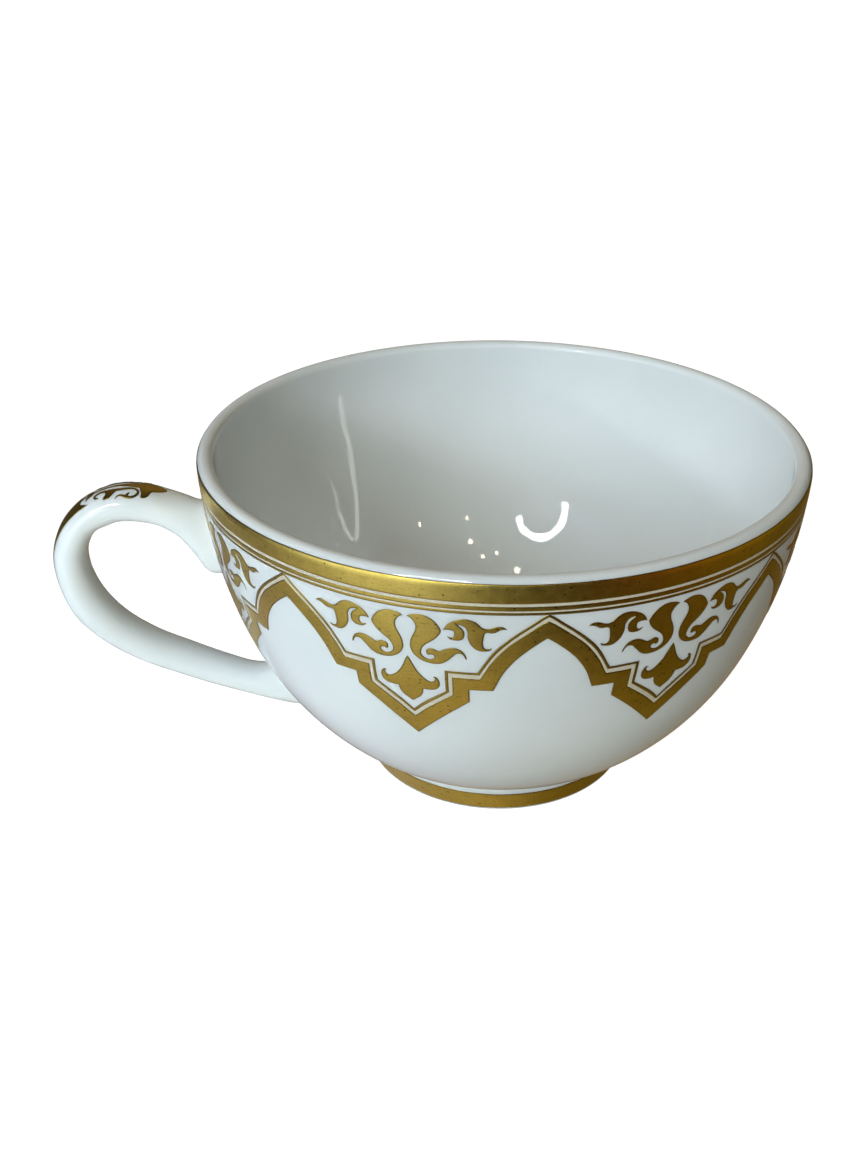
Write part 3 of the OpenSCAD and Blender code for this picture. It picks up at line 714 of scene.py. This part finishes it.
# pale paper all round, seen only behind the cup in low views
bpy.ops.mesh.primitive_uv_sphere_add(segments=48, ring_count=24, radius=3.0, location=(0, 0, 0))
backdrop = bpy.context.object
backdrop.name = "studio_backdrop"
pm = bpy.data.materials.new("studio_backdrop")
pt = Tree(pm)
pt.add("ShaderNodeOutputMaterial", None, Surface=pt.add("ShaderNodeEmission", None, Color=rgb(1, 1, 1), Strength=1.0).outputs[0])
pm.cycles.emission_sampling = "NONE"
backdrop.data.materials.append(pm)
backdrop.visible_glossy = False
backdrop.visible_diffuse = False
backdrop.visible_shadow = False
backdrop.visible_transmission = False

# what the glaze and the gold reflect: a dark warm room, lighter on the left, with a bright window to the front left
world = bpy.data.worlds.new("studio")
scene.world = world
wt = Tree(world)
direction = wt.add("ShaderNodeTexCoord").outputs["Generated"]


def toward(azimuth, elevation):
    a, e = math.radians(azimuth), math.radians(elevation)
    return Vector((math.cos(e) * math.cos(a), math.cos(e) * math.sin(a), math.sin(e)))


def glow(azimuth, elevation, sharp, colour):
    """A soft round patch of light in the surroundings."""
    d = wt.add("ShaderNodeVectorMath", {"operation": "DOT_PRODUCT"}, i0=direction, i1=toward(azimuth, elevation)).outputs["Value"]
    f = wt.math("EXPONENT", wt.math("MULTIPLY", wt.math("SUBTRACT", d, 1.0), sharp))
    return wt.mix(f, rgb(0, 0, 0), rgb(*colour))


GLOWS = [
    (214, 0, 9.0, (1.65, 1.88, 2.6)),
    (235, 5, 45.0, (1.9, 2.1, 2.5)),
    (229, -33, 45.0, (0.38, 0.43, 0.72)),
    (215, -50, 8.0, (0.29, 0.262, 0.2)),
    (262, -70, 20.0, (0.27, 0.225, 0.17)),
    (135, -50, 8.0, (0.43, 0.405, 0.5)),
    (70, -35, 10.0, (0.2, 0.13, 0.05)),
    (0, -75, 8.0, (0.19, 0.14, 0.01)),
    (0, 0, 8.0, (0.24, 0.175, 0.01)),
    (324, 0, 8.0, (0.153, 0.04, 0.0)),
    (80, 35, 5.0, (0.2, 0.14, 0.09)),
]
surround = rgb(0.012, 0.009, 0.004)
for patch in GLOWS:
    surround = wt.mix(1.0, surround, glow(*patch), "ADD")
wt.add("ShaderNodeOutputWorld", None, Surface=wt.add("ShaderNodeBackground", None, Color=surround, Strength=1.0).outputs[0])
world.cycles_visibility.diffuse = False

# lamps that show as reflections: a bowed tube light at the front left and a few small warm bulbs over the front, as
# [azimuth, elevation] seen from the cup
FAR = 5000.0
EYE = Vector((13.0, 35.0, 24.0))
bow = curve([[252, 29.5], [249, 34], [244.5, 36.3], [238, 37], [232.5, 35], [229, 31.5], [227.6, 27.5], [227.6, 23], [229.3, 19]], step=0.6)
BULBS = [(307, 27.4, 0.9), (280.5, 30, 0.9), (280, 40.2, 1.3), (273.5, 47.4, 0.95), (263.5, 46.3, 1.0), (247.5, 52.7, 1.3)]
bow_dirs = [toward(x / X_MM, y) for x, y in bow]
verts, faces = [], []
for i, d in enumerate(bow_dirs):
    along = (bow_dirs[min(i + 1, len(bow) - 1)] - bow_dirs[max(i - 1, 0)]).normalized()
    across = d.cross(along).normalized() * math.radians(1.4)
    verts += [EYE + (d + across) * FAR, EYE + (d - across) * FAR]
faces = [(2 * i, 2 * i + 1, 2 * i + 3, 2 * i + 2) for i in range(len(bow) - 1)]
tube = make("studio_tube_light", [tuple(v) for v in verts], faces)
verts, faces = [], []
for az, el, size in BULBS:
    d = toward(az, el)
    u = d.orthogonal().normalized()
    v = d.cross(u)
    k = len(verts)
    verts += [EYE + (d + math.radians(size) * (math.cos(a) * u + math.sin(a) * v)) * FAR for a in np.arange(16) * math.pi / 8]
    faces.append(list(range(k, k + 16)))
bulbs = make("studio_bulbs", [tuple(v) for v in verts], faces)
# the tube seen a second time, off the opposite inner wall: a narrow one-sided strip in front of that wall, facing the wall it shows in
STREAKS = [
    ([(36.9, 12, 39.1), (36.4, 10.7, 39.6), (35.9, 9.6, 40.1), (35.5, 8.6, 40.7), (35.4, 8.3, 41.1), (35.5, 8.4, 41.5), (35.7, 9.2, 42.3),
      (36.1, 10.2, 44), (36.6, 11.4, 45.7), (37.2, 12.9, 46.9), (37.8, 14.3, 47.2), (38.2, 15.4, 45.6), (38.5, 15.9, 43.4), (38.7, 16.4, 39.8),
      (38.8, 16.6, 39.3)], (-0.35, -0.86, 0.17), (-0.37, -0.92, 0.45)),
]
verts, faces = [], []
for path, first, last in STREAKS:
    k = len(verts)
    for i, c in enumerate(path):
        h = Vector(first).lerp(Vector(last), i / (len(path) - 1))
        verts += [Vector(c) + h, Vector(c) - h]
    for i in range(k, len(verts) - 2, 2):
        quad = [i, i + 1, i + 3, i + 2]
        n = (verts[quad[1]] - verts[quad[0]]).cross(verts[quad[2]] - verts[quad[0]])
        faces.append(quad if n.x < 0 else quad[::-1])
me = bpy.data.meshes.new("studio_streaks")
me.from_pydata([tuple(v * MM) for v in verts], [], faces)
streaks = bpy.data.objects.new("studio_streaks", me)
scene.collection.objects.link(streaks)
for lit, colour, strength in ((tube, (0.93, 1.0, 1.0), 40.0), (bulbs, (1.0, 0.85, 0.66), 24.0), (streaks, (0.97, 1.0, 0.95), 4.5)):
    lm = bpy.data.materials.new(lit.name)
    lt = Tree(lm)
    shine = lt.add("ShaderNodeEmission", None, Color=rgb(*colour), Strength=strength).outputs[0]
    if lit is streaks:
        side = lt.add("ShaderNodeNewGeometry").outputs["Backfacing"]
        shine = lt.add("ShaderNodeMixShader", None, i0=side, i1=shine, i2=lt.add("ShaderNodeBsdfTransparent").outputs[0]).outputs[0]
    lt.add("ShaderNodeOutputMaterial", None, Surface=shine)
    lit.data.materials.append(lm)
    lit.visible_camera = False
    lit.visible_diffuse = False
    lit.visible_shadow = False

# soft lamps: [name, azimuth, elevation, width in degrees, light from it]
LAMPS = [
    ("window", 229, 22, 14, (0.75, 0.885, 0.955)),
    ("window_front", 245, 14, 10, (0.52, 0.57, 0.63)),
    ("window_top", 237, 30, 8, (0.50, 0.565, 0.575)),
    ("left_wall", 210, 14, 20, (0.10, 0.19, 0.24)),
    ("table_bounce", 270, -35, 45, (0.45, 0.485, 0.425)),
    ("table_under", 265, -72, 45, (0.4, 0.43, 0.41)),
    ("right_bounce", 335, -30, 45, (0.05, 0.015, 0.0)),
    ("right_under", 330, -75, 45, (0.18, 0.17, 0.14)),
    ("back_low", 90, 15, 45, (0.14, 0.12, 0.075)),
    ("back_wall", 135, 38, 45, (0.33, 0.267, 0.196)),
    ("ceiling", 315, 62, 45, (0.375, 0.35, 0.2)),
    ("ceiling_left", 180, 56, 20, (0.127, 0.092, 0.089)),
    ("ceiling_mid", 270, 85, 30, (0.05, 0.055, 0.06)),
    ("front_top", 262, 50, 20, (0.23, 0.255, 0.29)),
]
# snooted lamps on the handle: azimuth, elevation, light from it
SNOOTS = [("handle_low", 245, -20, (22.5, 25.5, 26.0)), ("handle_side", 245, 10, (3.0, 4.0, 4.6)), ("handle_left", 188, 12, (10.0, 12.0, 14.0))]


def lamp(name, kind, light, ray, at):
    data = bpy.data.lights.new(name, kind)
    data.energy = max(light)
    data.color = [c / max(light) for c in light]
    obj = bpy.data.objects.new(name, data)
    scene.collection.objects.link(obj)
    obj.rotation_euler = ray.to_track_quat("-Z", "Y").to_euler()
    obj.location = at
    obj.visible_glossy = False
    return data


for name, azimuth, elevation, width, light in LAMPS:
    lamp(name, "SUN", light, -toward(azimuth, elevation), toward(azimuth, elevation) * 0.8).angle = math.radians(width)
for name, azimuth, elevation, light in SNOOTS:
    d = toward(azimuth, elevation)
    data = lamp(name, "SPOT", light, -d, Vector((-64, -2, 36)) * MM + d * 0.6)
    data.spot_size, data.spot_blend, data.shadow_soft_size = math.radians(6), 1.0, 0.06

scene.view_settings.view_transform = "Standard"
scene.view_settings.look = "None"
scene.view_settings.exposure = 0.0
scene.view_settings.gamma = 1.0
